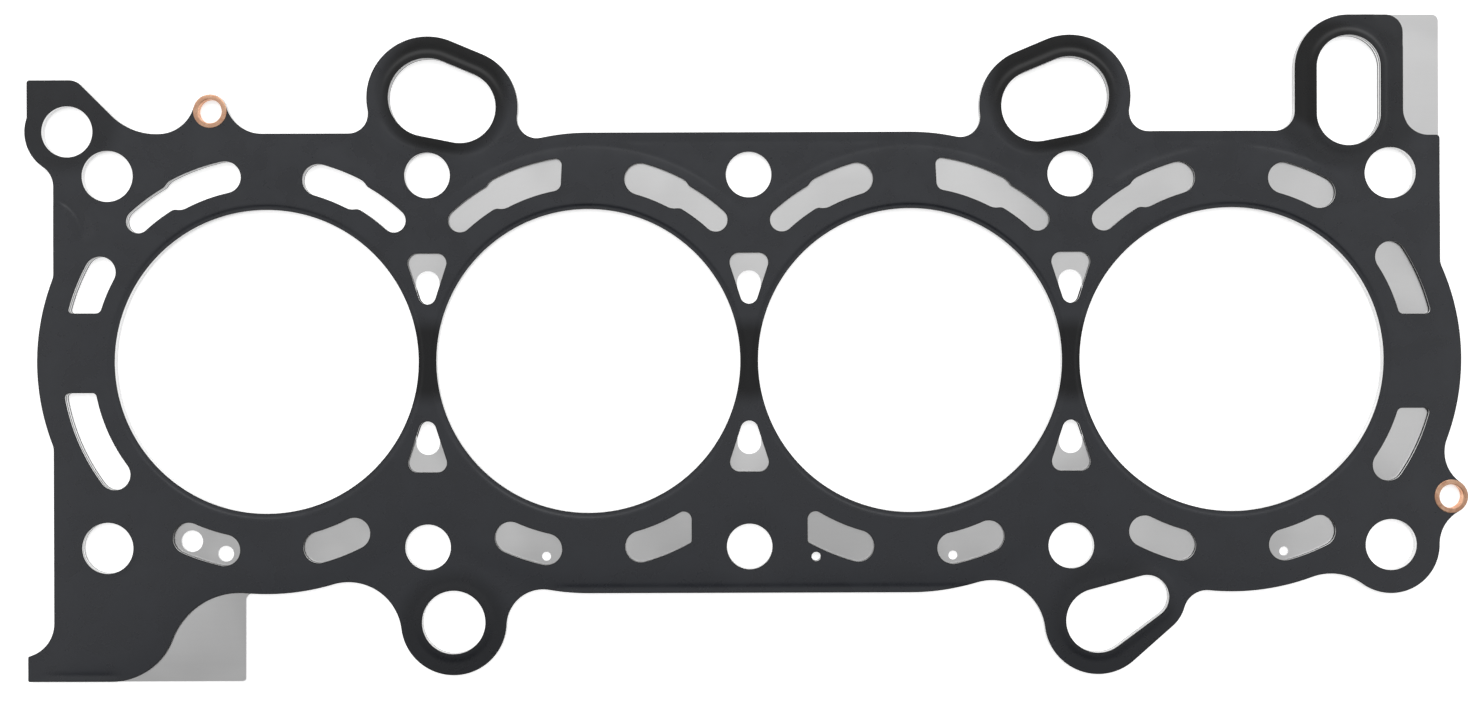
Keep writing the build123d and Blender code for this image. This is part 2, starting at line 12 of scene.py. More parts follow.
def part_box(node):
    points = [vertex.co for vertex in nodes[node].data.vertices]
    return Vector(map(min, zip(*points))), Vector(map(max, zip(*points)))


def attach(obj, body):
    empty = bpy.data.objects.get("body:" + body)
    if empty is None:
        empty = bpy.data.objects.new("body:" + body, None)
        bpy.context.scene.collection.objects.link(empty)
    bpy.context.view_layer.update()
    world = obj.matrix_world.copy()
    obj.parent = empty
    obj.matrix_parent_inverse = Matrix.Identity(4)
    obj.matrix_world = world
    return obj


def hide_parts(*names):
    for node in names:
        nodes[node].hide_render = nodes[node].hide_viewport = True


# cylinder head gasket: two black coated beaded sheets, a bare steel sheet between them, two copper eyelets
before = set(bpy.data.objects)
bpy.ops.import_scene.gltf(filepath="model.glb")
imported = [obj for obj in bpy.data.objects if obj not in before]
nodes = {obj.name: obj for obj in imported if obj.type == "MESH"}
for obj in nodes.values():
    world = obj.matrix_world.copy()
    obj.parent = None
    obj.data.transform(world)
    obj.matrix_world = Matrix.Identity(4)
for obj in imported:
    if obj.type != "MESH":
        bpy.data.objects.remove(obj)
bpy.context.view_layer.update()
print("frame loaded:", sorted(nodes))


# small helpers for node trees
def newMaterial(name):
    mat = bpy.data.materials.new(name)
    mat.use_nodes = True
    tree = mat.node_tree
    tree.nodes.clear()
    out = addNode(tree, "ShaderNodeOutputMaterial")
    return mat, tree, out


def addNode(tree, kind, **settings):
    node = tree.nodes.new(kind)
    for key, value in settings.items():
        setattr(node, key, value)
    return node


def plug(tree, *pairs):
    for a, b in pairs:
        tree.links.new(a, b)


def mathNode(tree, operation, first, second=None):
    node = addNode(tree, "ShaderNodeMath", operation=operation)
    for i, value in enumerate((first, second)):
        if value is None:
            continue
        if isinstance(value, (int, float)):
            node.inputs[i].default_value = value
        else:
            tree.links.new(value, node.inputs[i])
    return node.outputs[0]


def foldNodes(tree, operation, values):
    # one value out of many, taken two by two
    result = values[0]
    for value in values[1:]:
        result = mathNode(tree, operation, result, value)
    return result


def noiseNode(tree, where, scale, detail, roughness=0.5, distortion=0.0):
    node = addNode(tree, "ShaderNodeTexNoise")
    node.inputs["Scale"].default_value = scale
    node.inputs["Detail"].default_value = detail
    node.inputs["Roughness"].default_value = roughness
    node.inputs["Distortion"].default_value = distortion
    tree.links.new(where, node.inputs["Vector"])
    return node.outputs["Fac"]


def rangeNode(tree, value, fromLow, fromHigh, toLow, toHigh, smooth=False):
    node = addNode(tree, "ShaderNodeMapRange")
    node.interpolation_type = "SMOOTHSTEP" if smooth else "LINEAR"
    for i, number in enumerate((fromLow, fromHigh, toLow, toHigh)):
        node.inputs[i + 1].default_value = number
    tree.links.new(value, node.inputs[0])
    return node.outputs[0]


def distanceNode(tree, place, x, y):
    # distance from an upright axis
    flat = addNode(tree, "ShaderNodeVectorMath", operation="MULTIPLY")
    flat.inputs[1].default_value = (1.0, 1.0, 0.0)
    away = addNode(tree, "ShaderNodeVectorMath", operation="DISTANCE")
    away.inputs[1].default_value = (x, y, 0.0)
    plug(tree, (place, flat.inputs[0]), (flat.outputs[0], away.inputs[0]))
    return away.outputs["Value"]


def mixColour(tree, factor, first, second):
    # inputs 6 and 7 are the two colours
    node = addNode(tree, "ShaderNodeMix", data_type="RGBA")
    tree.links.new(factor, node.inputs[0])
    for i, value in ((6, first), (7, second)):
        if isinstance(value, tuple):
            node.inputs[i].default_value = (*value, 1.0)
        else:
            tree.links.new(value, node.inputs[i])
    return node.outputs[2]


def mixShaders(tree, factor, first, second):
    node = addNode(tree, "ShaderNodeMixShader")
    plug(tree, (factor, node.inputs[0]), (first, node.inputs[1]), (second, node.inputs[2]))
    return node.outputs[0]


def bumpNode(tree, height, strength, depth, under=None):
    # under is the normal that this bump is laid on
    node = addNode(tree, "ShaderNodeBump")
    node.inputs["Strength"].default_value = strength
    node.inputs["Distance"].default_value = depth
    tree.links.new(height, node.inputs["Height"])
    if under:
        tree.links.new(under, node.inputs["Normal"])
    return node.outputs[0]


def surfaceNode(tree, metallic, colour, rough, normal):
    node = addNode(tree, "ShaderNodeBsdfPrincipled")
    node.inputs["Metallic"].default_value = metallic
    plug(
        tree,
        (colour, node.inputs["Base Color"]),
        (rough, node.inputs["Roughness"]),
        (normal, node.inputs["Normal"]),
    )
    return node


# bare rolled steel: the middle sheet, and the sheared edges of the coated ones
bareSteelLook = {
    "light": (0.83, 0.83, 0.832),
    "dark": (0.68, 0.68, 0.682),
    "clouds": {"scale": 34.0, "detail": 2.0, "roughness": 0.45, "distortion": 0.4},
    "cloudSpan": (0.32, 0.68),
    "grain": {"scale": 900.0, "detail": 4.0, "roughness": 0.6},
    "grainSpan": (0.3, 0.7),
    "grainStretch": (0.06, 1.0, 1.0),      # drawn out along the row of bores
    "shares": (0.94, 0.06),                # clouds and grain in the tone
    "roughness": (0.42, 0.30),             # where it is dark, and where it is light
    "grainStrength": 0.25,
    "grainDepth": 0.000004,
}


def bareSteelShader(tree, look, place):
    clouds = noiseNode(tree, place, **look["clouds"])
    rolled = addNode(tree, "ShaderNodeMapping")
    rolled.inputs["Scale"].default_value = look["grainStretch"]
    plug(tree, (place, rolled.inputs["Vector"]))
    grain = noiseNode(tree, rolled.outputs[0], **look["grain"])
    cloudMask = rangeNode(tree, clouds, *look["cloudSpan"], 0.0, 1.0, True)
    grainMask = rangeNode(tree, grain, *look["grainSpan"], 0.0, 1.0)
    cloudShare, grainShare = look["shares"]
    tone = mathNode(
        tree,
        "ADD",
        mathNode(tree, "MULTIPLY", cloudMask, cloudShare),
        mathNode(tree, "MULTIPLY", grainMask, grainShare),
    )
    colour = mixColour(tree, tone, look["dark"], look["light"])
    rough = rangeNode(tree, tone, 0.0, 1.0, *look["roughness"])
    normal = bumpNode(tree, grain, look["grainStrength"], look["grainDepth"])
    return surfaceNode(tree, 1.0, colour, rough, normal).outputs[0]


def makeBareSteel():
    mat, tree, out = newMaterial("bareSteel")
    place = addNode(tree, "ShaderNodeTexCoord").outputs["Object"]
    shader = bareSteelShader(tree, bareSteelLook, place)
    plug(tree, (shader, out.inputs["Surface"]))
    return mat


# thin black rubber coating on spring steel
coatingLook = {
    "band": (0.0228, 0.0250, 0.0310),
    "bandDark": (0.0188, 0.0206, 0.0256),
    "mottle": {"scale": 110.0, "detail": 5.0, "roughness": 0.6, "distortion": 0.3},
    "mottleSpan": (0.3, 0.7),
    "roughness": (0.25, 0.32),      # where the mottle is dark, and where it is light
    "peel": {"scale": 1700.0, "detail": 2.0},
    "peelStrength": 0.5,
    "peelDepth": 0.000002,
    "ior": (1.5, 1.39),             # of the band, and of the lobes
    # painted shade colour of the strip along the cut edges
    "rim": (0.0050, 0.0050, 0.0055),
    "rimShadeSpan": (0.1, 0.9),
    "edge": (0.74, 0.74, 0.74),
    "edgeTilt": (0.30, 0.45),       # upward part of the normal, from sheared edge to coated face
    "bores": (-0.141, -0.047, 0.047, 0.141),
    "boreRadius": 0.04440,
    "lip": (0.0005, 0.0022),        # the lip of a bore climbs between these distances from its edge
    "lipDepth": 0.00016,
    # painted shade colour of the lobes, the upper left corner and the necks
    "lobe": (0.0035, 0.0037, 0.0042),
    "lobeSoft": 0.003,
    # centre x, centre y, reach and strength of each place of painted shade: the lobes outside the band, the
    # upper left corner, and last the necks between bores
    "lobes": (
        (-0.0890, 0.0790, 0.0185, 1.0),
        (0.0890, 0.0790, 0.0185, 1.0),
        (0.1690, 0.0830, 0.0165, 1.0),
        (0.1753, 0.0800, 0.0240, 0.45),
        (-0.0866, -0.0780, 0.0160, 0.45),
        (0.1060, -0.0770, 0.0185, 0.35),
        (-0.2000, 0.0720, 0.0160, 0.45),
        (-0.0940, 0.0, 0.0110, 0.9),
        (0.0, 0.0, 0.0110, 0.9),
        (0.0940, 0.0, 0.0110, 0.9),
    ),
}


def makeCoatedSteel():
    look = coatingLook
    mat, tree, out = newMaterial("coatedSteel")
    place = addNode(tree, "ShaderNodeTexCoord").outputs["Object"]
    mottle = noiseNode(tree, place, **look["mottle"])
    mottleMask = rangeNode(tree, mottle, *look["mottleSpan"], 0.0, 1.0, True)
    colour = mixColour(tree, mottleMask, look["bandDark"], look["band"])
    rough = rangeNode(tree, mottleMask, 0.0, 1.0, *look["roughness"])

    # painted shade: the lobes and necks are darkened, with a soft edge
    lobes = []
    for x, y, reach, strength in look["lobes"]:
        away = distanceNode(tree, place, x, y)
        start, end = reach - look["lobeSoft"], reach + look["lobeSoft"]
        lobes.append(rangeNode(tree, away, start, end, strength, 0.0, True))
    lobeMask = foldNodes(tree, "MAXIMUM", lobes)
    colour = mixColour(tree, lobeMask, colour, look["lobe"])

    # painted shade: the coat is darkened right along the cut edges
    rim = addNode(tree, "ShaderNodeAttribute", attribute_name="rim")
    rimShadeMask = rangeNode(tree, rim.outputs["Fac"], *look["rimShadeSpan"], 0.0, 1.0)
    colour = mixColour(tree, rimShadeMask, colour, look["rim"])

    # the pressed lips of the bores, taken a little further than the mesh, and a fine peel on them
    lips = []
    start, end = (look["boreRadius"] + gap for gap in look["lip"])
    for x in look["bores"]:
        away = distanceNode(tree, place, x, 0.0)
        lips.append(rangeNode(tree, away, start, end, 0.0, 1.0, True))
    pressed = bumpNode(tree, foldNodes(tree, "MINIMUM", lips), 1.0, look["lipDepth"])
    peel = noiseNode(tree, place, **look["peel"])
    normal = bumpNode(tree, peel, look["peelStrength"], look["peelDepth"], pressed)
    coats = []
    for ior in look["ior"]:
        node = surfaceNode(tree, 0.0, colour, rough, normal)
        node.inputs["IOR"].default_value = ior
        coats.append(node.outputs[0])
    # the same painted shade mask gives the lobes the lower IOR, so they reflect less
    coat = mixShaders(tree, lobeMask, *coats)

    # sheared edges show the bare steel
    edge = bareSteelShader(tree, dict(bareSteelLook, light=look["edge"], dark=look["edge"]), place)
    face = addNode(tree, "ShaderNodeNewGeometry")
    parts = addNode(tree, "ShaderNodeSeparateXYZ")
    plug(tree, (face.outputs["True Normal"], parts.inputs[0]))
    upright = mathNode(tree, "ABSOLUTE", parts.outputs["Z"])
    edgeMask = rangeNode(tree, upright, *look["edgeTilt"], 1.0, 0.0)
    plug(tree, (mixShaders(tree, edgeMask, coat, edge), out.inputs["Surface"]))
    return mat


# copper of the eyelets
copperLook = {
    "bright": (0.86, 0.53, 0.36),
    "dull": (0.66, 0.36, 0.23),
    "tarnish": {"scale": 420.0, "detail": 4.0, "roughness": 0.6, "distortion": 0.8},
    "tarnishSpan": (0.35, 0.65),
    "roughness": (0.38, 0.22),      # where it is dull, and where it is bright
    "dents": {"scale": 1500.0, "detail": 2.0},
    "dentStrength": 0.5,
    "dentDepth": 0.000010,
}


def makeCopper():
    look = copperLook
    mat, tree, out = newMaterial("copper")
    place = addNode(tree, "ShaderNodeTexCoord").outputs["Object"]
    tarnish = noiseNode(tree, place, **look["tarnish"])
    mask = rangeNode(tree, tarnish, *look["tarnishSpan"], 0.0, 1.0, True)
    colour = mixColour(tree, mask, look["dull"], look["bright"])
    rough = rangeNode(tree, mask, 0.0, 1.0, *look["roughness"])
    dents = noiseNode(tree, place, **look["dents"])
    normal = bumpNode(tree, dents, look["dentStrength"], look["dentDepth"])
    shader = surfaceNode(tree, 1.0, colour, rough, normal)
    plug(tree, (shader.outputs[0], out.inputs["Surface"]))
    return mat


bareSteel = makeBareSteel()
coatedSteel = makeCoatedSteel()
copper = makeCopper()

# sheets: each is built again from the outline of its CAD node, meshed finely where it is pressed
sheetSet = {
    "thickness": 0.00025,     # of a coated sheet
    "fine": 0.00045,          # spacing of points on pressed lines
    "flat": 0.0018,           # spacing on the flats
    "edgeStep": 0.0009,       # spacing along the cut edges
    "rimShadeWidth": 0.00040,      # strip of painted shade along the cut edges
    "rowClear": 0.9,          # in strip widths: how far the strip's inner row keeps from every edge
    "innerClear": 1.9,        # and how far all other inner points do
    "fieldGrid": 0.0009,      # spacing at which the CAD relief is read
    "fieldSoft": 0.0022,      # how far the wide raised field is eased out
    "boreClear": 0.0030,      # the CAD relief isn't read this close to a bore's edge
    "ringClear": 0.0042,      # and the sheet counts as unpressed this close to a hole with a grooved ring
    "ringReach": 0.032,       # no ring is looked for further than this from its hole's centre
    "ringMargin": 0.003,      # a ring's lift goes on for this far beyond it
    "lip": (0.00080, 0.00165),        # the lip round a bore climbs between these
    "lipMargin": 0.0006,      # fine points go on for this far beyond the lip
    "arcFade": 0.22,          # share of an arc over which each of its ends fades
    "lineFade": 0.008,        # length over which each end of a straight crease fades
    "faintest": 0.001,        # share of its depth below which a crease gets no fine points
    "sharpAngle": 35,         # degrees from which an edge stays sharp
}

# how the outlines and heights are read from the CAD meshes
readSet = {
    "weld": 0.000002,         # points closer than this are one
    "topTilt": 0.5,           # least upward part of a top face's normal
    "wallTilt": 0.3,          # greatest upward part of a wall's normal
    "leastPoints": 6,         # a loop with fewer isn't an outline
    "evenness": 0.03,         # edges side by side on an arc differ by less than this share
    "tightestArc": 1.1,       # radius in lengths of its edges
    "widestArc": 0.4,
    "leastBore": 0.03,        # radius
    "boreSlack": 0.0005,      # how far out of round a bore's points may lie
    "rayLift": 0.001,
    "rayLength": 0.01,
}

# pressed rings round the oil holes, by distance from the hole's edge. The ring keeps its height up to crest
# and ends at foot. The far wall of the groove climbs between the two distances in far, by lift at the least.
ringSet = (
    {"at": (-0.0890, 0.0790), "height": 0.00024, "crest": 0.0013, "foot": 0.0027,
     "far": (0.0031, 0.0045), "lift": 0.00010},
    {"at": (0.0890, 0.0790), "height": 0.00024, "crest": 0.0013, "foot": 0.0027,
     "far": (0.0031, 0.0045), "lift": 0.00010},
    {"at": (0.1753, 0.0800), "height": 0.00024, "crest": 0.0011, "foot": 0.0025,
     "far": (0.0031, 0.0048), "lift": 0.00007},
    {"at": (-0.0866, -0.0780), "height": 0.00012, "crest": 0.0006, "foot": 0.0028,
     "far": (0.0020, 0.0080), "lift": 0.00003},
    {"at": (0.1060, -0.0770), "height": 0.00012, "crest": 0.0006, "foot": 0.0028,
     "far": (0.0014, 0.0100), "lift": 0.00003},
    {"at": (-0.1865, -0.0550), "height": 0.00014, "crest": 0.0002, "foot": 0.0014, "far": None},
)

# shallow creases: arcs by centre, radius and angles in degrees, and straight ones by their ends. The two
# walls are the widths inside and outside an arc, or below and above a straight crease.
creaseArcs = (
    {"centre": (-0.0470, 0.0), "radius": 0.0629, "angles": (38, 138),
     "depth": 0.00007, "walls": (0.0009, 0.0016)},
    {"centre": (0.0470, 0.0), "radius": 0.0629, "angles": (52, 140),
     "depth": 0.00006, "walls": (0.0009, 0.0016)},
    {"centre": (0.1410, 0.0), "radius": 0.0629, "angles": (62, 88),
     "depth": 0.00010, "walls": (0.0009, 0.0016)},
    {"centre": (0.1410, 0.0), "radius": 0.0634, "angles": (96, 127),
     "depth": 0.00013, "walls": (0.0020, 0.0050)},
    {"centre": (-0.2071, 0.0361), "radius": 0.0126, "angles": (-6, 72),
     "depth": 0.00024, "walls": (0.0010, 0.0040)},
)
creaseLines = (
    {"ends": ((-0.0420, 0.0640), (0.0500, 0.0640)), "depth": 0.00005, "walls": (0.0010, 0.0014)},
    {"ends": ((0.1160, 0.0640), (0.1450, 0.0640)), "depth": 0.00006, "walls": (0.0010, 0.0014)},
    {"ends": ((-0.0600, -0.0664), (0.0700, -0.0664)), "depth": 0.00008, "walls": (0.0012, 0.0014)},
    {"ends": ((-0.2090, -0.0917), (-0.1820, -0.0917)), "depth": 0.00009, "walls": (0.0010, 0.0013)},
)


def cutEdges(obj):
    # loops of points along the upper rim of the cut edges
    bm = bmesh.new()
    bm.from_mesh(obj.data)
    bmesh.ops.remove_doubles(bm, verts=bm.verts, dist=readSet["weld"])
    near = {}
    for edge in bm.edges:
        if len(edge.link_faces) != 2:
            continue
        tilts = sorted(face.normal.z for face in edge.link_faces)
        if tilts[1] > readSet["topTilt"] and abs(tilts[0]) < readSet["wallTilt"]:
            one, two = (vert.co.xy.to_tuple(7) for vert in edge.verts)
            near.setdefault(one, []).append(two)
            near.setdefault(two, []).append(one)
    bm.free()
    loops = []
    while near:
        loop = walkLoop(near, next(iter(near)))
        for point in loop:
            near.pop(point, None)
        if len(loop) >= readSet["leastPoints"]:
            loops.append(np.array(loop))
    return loops


def walkLoop(near, start):
    # from point to point until the start comes round again
    loop = [start]
    while True:
        onward = [n for n in near[loop[-1]] if n in near and (len(loop) < 2 or n != loop[-2])]
        onward = [n for n in onward if n == start or n not in loop[-3:]]
        if not onward or onward[0] == start:
            return loop
        loop.append(onward[0])


def circleThrough(a, b, c):
    # centre and radius, or None where the three points are all but in line
    ab = b - a
    ac = c - a
    turn = 2 * (ab[0] * ac[1] - ab[1] * ac[0])
    leastTurn = 1e-14
    if abs(turn) < leastTurn:
        return None
    u = (ac[1] * ab.dot(ab) - ab[1] * ac.dot(ac)) / turn
    v = (ab[0] * ac.dot(ac) - ac[0] * ab.dot(ab)) / turn
    return a + np.array((u, v)), math.hypot(u, v)


def refined(loop, step):
    # more points along each edge, and on the true arc where the edge follows one
    count = len(loop)
    ahead = np.roll(loop, -1, 0)
    lengths = np.hypot(*(ahead - loop).T)
    arcs = []
    for i in range(count):
        before, after = lengths[i - 1], lengths[i]
        found = None
        if abs(before - after) < readSet["evenness"] * max(before, after):
            found = circleThrough(loop[i - 1], loop[i], ahead[i])
            if found and (found[1] > readSet["widestArc"] or found[1] < readSet["tightestArc"] * after):
                found = None
        arcs.append(found)
    points = []
    for i in range(count):
        a, b = loop[i], ahead[i]
        parts = max(1, int(math.ceil(lengths[i] / step)))
        arc = arcs[i] or arcs[(i + 1) % count]
        for k in range(parts):
            point = a + (b - a) * k / parts
            if arc and k:
                middle, radius = arc
                spoke = point - middle
                point = middle + spoke * radius / math.hypot(*spoke)
            points.append(point)
    return np.array(points)


def boresOf(loops):
    # centre and radius of the largest round openings
    found = []
    for loop in loops:
        middle = (loop.min(0) + loop.max(0)) / 2
        reach = np.hypot(*(loop - middle).T)
        if reach.max() > readSet["leastBore"] and reach.max() - reach.min() < readSet["boreSlack"]:
            found.append((middle, reach.max()))
    return found


def loopRound(loops, at):
    # the smallest loop that goes round a place
    best = None
    for loop in loops:
        low, high = loop.min(0), loop.max(0)
        if (low < at).all() and (high > at).all():
            if best is None or np.prod(high - low) < np.prod(best.max(0) - best.min(0)):
                best = loop
    return best


def awayFrom(loop, points):
    # distance of each point from a closed run of short edges
    ahead = np.roll(loop, -1, 0)
    best = np.full(len(points), np.inf)
    for a, b in zip(loop, ahead):
        along = b - a
        t = np.clip(((points - a) @ along) / (along @ along), 0, 1)
        best = np.minimum(best, np.hypot(*(points - a - t[:, None] * along).T))
    return best


def ease(value, start, end):
    t = np.clip((value - start) / (end - start), 0, 1)
    return t * t * (3 - 2 * t)


def dip(away, walls):
    # one crease: nothing beyond its walls, 1 at its bottom
    t = np.where(away < 0, -away / walls[0], away / walls[1])
    return np.where(t < 1, (1 - np.clip(t, 0, 1) ** 2) ** 2, 0.0)


def creasesAt(points, sizes):
    # the depth of each crease, and what share of it each point gets
    for crease in creaseArcs:
        spoke = points - np.array(crease["centre"])
        away = np.hypot(*spoke.T) - crease["radius"]
        angle = np.degrees(np.arctan2(spoke[:, 1], spoke[:, 0]))
        start, end = crease["angles"]
        fade = (end - start) * sizes["arcFade"]
        part = ease(angle, start, start + fade) * ease(-angle, -end, fade - end)
        yield crease["depth"], part * dip(away, crease["walls"])
    for crease in creaseLines:
        # all of them run along x
        a, b = np.array(crease["ends"])
        length = math.hypot(*(b - a))
        along = (points - a) @ (b - a) / length
        away = points[:, 1] - a[1]
        part = ease(along, 0, sizes["lineFade"]) * ease(length - along, 0, sizes["lineFade"])
        yield crease["depth"], part * dip(away, crease["walls"])


def surfaceOf(obj):
    corners = [vert.co for vert in obj.data.vertices]
    return BVHTree.FromPolygons(corners, [tuple(face.vertices) for face in obj.data.polygons])


def heightUnder(surface, x, y, top):
    # height of the upper face at a place, or None beside the sheet
    start = Vector((x, y, top + readSet["rayLift"]))
    hit = surface.ray_cast(start, Vector((0, 0, -1)), readSet["rayLength"])[0]
    return None if hit is None else hit.z


class Relief:
    # height of the pressed upper face at any point of the sheet
    def __init__(self, obj, surface, loops, sizes):
        self.low, self.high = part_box(obj.name)
        self.sizes = sizes
        self.bores = boresOf(loops)
        self.rings = [(ring, loopRound(loops, np.array(ring["at"]))) for ring in ringSet]
        self.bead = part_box("upper_sheet")[1].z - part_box("centre_sheet")[1].z - sizes["thickness"]
        self.foot = self.high.z - self.bead
        self.readField(surface)

    def readField(self, surface):
        # the CAD relief on a grid, left out where rings and lips are pressed anew, and then blurred
        pitch = self.sizes["fieldGrid"]
        self.xs = np.arange(self.low.x - 2 * pitch, self.high.x + 3 * pitch, pitch)
        self.ys = np.arange(self.low.y - 2 * pitch, self.high.y + 3 * pitch, pitch)
        field = np.full((len(self.ys), len(self.xs)), np.nan)
        for row, y in enumerate(self.ys):
            for column, x in enumerate(self.xs):
                height = heightUnder(surface, x, y, self.high.z)
                if height is not None:
                    field[row, column] = height
        gx, gy = np.meshgrid(self.xs, self.ys)
        for middle, radius in self.bores:
            close = np.abs(np.hypot(gx - middle[0], gy - middle[1]) - radius) < self.sizes["boreClear"]
            field[close] = np.nan
        places = np.stack([gx.ravel(), gy.ravel()], 1)
        flat = field.ravel()
        for ring, loop in self.rings:
            if ring["far"]:
                close, _ = self.roundRing(ring, loop, places, self.sizes["ringClear"])
                flat[close] = np.where(np.isnan(flat[close]), np.nan, self.foot)
        known = ~np.isnan(field)
        value = np.where(known, field, 0.0)
        weight = known.astype(float)
        for _ in range(int(round(2 * (self.sizes["fieldSoft"] / pitch) ** 2))):
            for axis in (0, 1):
                value = value / 2 + (np.roll(value, 1, axis) + np.roll(value, -1, axis)) / 4
                weight = weight / 2 + (np.roll(weight, 1, axis) + np.roll(weight, -1, axis)) / 4
        least = 1e-5
        self.field = np.where(weight > least, value / np.maximum(weight, least), self.foot)

    def roundRing(self, ring, loop, points, reach):
        # which points lie within reach of a ring's hole, and how far from its edge
        close = (np.hypot(*(points - np.array(ring["at"])).T) < self.sizes["ringReach"]).nonzero()[0]
        away = awayFrom(loop, points[close])
        return close[away < reach], away[away < reach]

    def eased(self, points):
        # the blurred field between the points of its grid, which no place may leave
        pitch = self.xs[1] - self.xs[0]
        margin = 1.001
        fx = np.clip((points[:, 0] - self.xs[0]) / pitch, 0, len(self.xs) - margin)
        fy = np.clip((points[:, 1] - self.ys[0]) / pitch, 0, len(self.ys) - margin)
        ix, iy = fx.astype(int), fy.astype(int)
        tx, ty = fx - ix, fy - iy
        under = self.field[iy, ix] * (1 - tx) + self.field[iy, ix + 1] * tx
        over = self.field[iy + 1, ix] * (1 - tx) + self.field[iy + 1, ix + 1] * tx
        return under * (1 - ty) + over * ty

    def heights(self, points):
        # returns the heights, and where the sheet is pressed closely enough to need fine meshing
        z = self.eased(points)
        busy = np.zeros(len(points), bool)
        for depth, part in creasesAt(points, self.sizes):
            z = z - depth * part
            busy |= part > self.sizes["faintest"]
        for ring, loop in self.rings:
            reach = ring["far"][1] if ring["far"] else ring["foot"]
            close, away = self.roundRing(ring, loop, points, reach + self.sizes["ringMargin"])
            level = z[close]
            if ring["far"]:
                level = np.maximum(level, self.foot + ring["lift"])
                level = self.foot + (level - self.foot) * ease(away, *ring["far"])
            crest = self.foot + ring["height"]
            level = level + (crest - level) * (1 - ease(away, ring["crest"], ring["foot"]))
            z[close] = np.maximum(level, self.foot)
            busy[close] |= away < reach
        start, end = self.sizes["lip"]
        for middle, radius in self.bores:
            away = np.hypot(points[:, 0] - middle[0], points[:, 1] - middle[1]) - radius
            z = np.minimum(z, self.foot + self.bead * ease(away, start, end))
            busy |= away < end + self.sizes["lipMargin"]
        return np.minimum(z, self.high.z), busy


def insetPoints(loops, width, isInside):
    # one row of points just inside the cut edges
    points = []
    for loop in loops:
        along = np.roll(loop, -1, 0) - np.roll(loop, 1, 0)
        along = along / np.hypot(*along.T)[:, None]
        across = np.stack([-along[:, 1], along[:, 0]], 1)
        for point, side in zip(loop, across):
            for way in (1, -1):
                moved = point + way * width * side
                if isInside(moved):
                    points.append(moved)
    return np.array(points)


def innerPoints(low, high, loops, sizes, relief, isInside):
    # points inside the sheet: all of them on the pressed lines, only some on the flats
    rim = KDTree(sum(len(loop) for loop in loops))
    for i, point in enumerate(np.concatenate(loops)):
        rim.insert((point[0], point[1], 0), i)
    rim.balance()

    def clear(points, gap):
        return [p for p in points if rim.find((p[0], p[1], 0))[2] > gap and isInside(p)]

    pitch = sizes["fine"]
    width = sizes["rimShadeWidth"]
    skip = int(round(sizes["flat"] / pitch))
    gx, gy = np.meshgrid(np.arange(low.x, high.x, pitch), np.arange(low.y, high.y, pitch))
    keep = np.zeros(gx.shape, bool)
    keep[::skip, ::skip] = True
    if relief:
        places = np.stack([gx.ravel(), gy.ravel()], 1)
        keep |= relief.heights(places)[1].reshape(gx.shape)
    points = np.stack([gx[keep], gy[keep]], 1)
    rows = clear(points, sizes["innerClear"] * width)
    rows += clear(insetPoints(loops, width, isInside), sizes["rowClear"] * width)
    return np.array(rows)


def sidesOf(face):
    return [(face[k], face[(k + 1) % 3]) for k in range(3)]


def regionsOf(faces, barrier):
    # groups of neighbouring triangles, parted by the barrier edges
    owners = {}
    for f, face in enumerate(faces):
        for side in sidesOf(face):
            owners.setdefault(frozenset(side), []).append(f)
    taken = [False] * len(faces)
    regions = []
    for seed in range(len(faces)):
        if taken[seed]:
            continue
        taken[seed] = True
        members = [seed]
        for f in members:
            for side in map(frozenset, sidesOf(faces[f])):
                if side in barrier:
                    continue
                for other in owners[side]:
                    if not taken[other]:
                        taken[other] = True
                        members.append(other)
        regions.append(members)
    return regions


def triangles(loops, points, isInside):
    # flat mesh between the loops; also tells which vertex each rim point became
    rim = np.concatenate(loops)
    edges = []
    first = 0
    for loop in loops:
        count = len(loop)
        edges += [(first + i, first + (i + 1) % count) for i in range(count)]
        first += count
    every = [Vector(p) for p in np.concatenate([rim, points])]
    weld = 1e-8
    verts, _, faces, source, _, _ = delaunay_2d_cdt(every, edges, [], 0, weld, True)
    where = {}
    for new, olds in enumerate(source):
        for old in olds:
            where[old] = new

    def doubleArea(face):
        a, b, c = (verts[i] for i in face)
        return (b - a).cross(c - a)

    result = []
    for region in regionsOf(faces, {frozenset((where[a], where[b])) for a, b in edges}):
        # the whole region lies inside the sheet or outside it, as its largest triangle does
        a, b, c = faces[max(region, key=lambda f: abs(doubleArea(faces[f])))]
        if isInside((verts[a] + verts[b] + verts[c]) / 3):
            for a, b, c in (faces[f] for f in region):
                result.append((a, c, b) if doubleArea((a, b, c)) < 0 else (a, b, c))
    return np.array([tuple(v) for v in verts]), result, where


def smoothMesh(mesh, sharpAngle):
    # smooth faces between sharp edges, and no stray points; returns how many edges are open
    bm = bmesh.new()
    bm.from_mesh(mesh)
    bmesh.ops.delete(bm, geom=[v for v in bm.verts if not v.link_faces], context="VERTS")
    for face in bm.faces:
        face.smooth = True
    openEdges = 0
    for edge in bm.edges:
        if len(edge.link_faces) != 2:
            openEdges += 1
        elif edge.calc_face_angle(0) > math.radians(sharpAngle):
            edge.smooth = False
    bm.to_mesh(mesh)
    bm.free()
    return openEdges


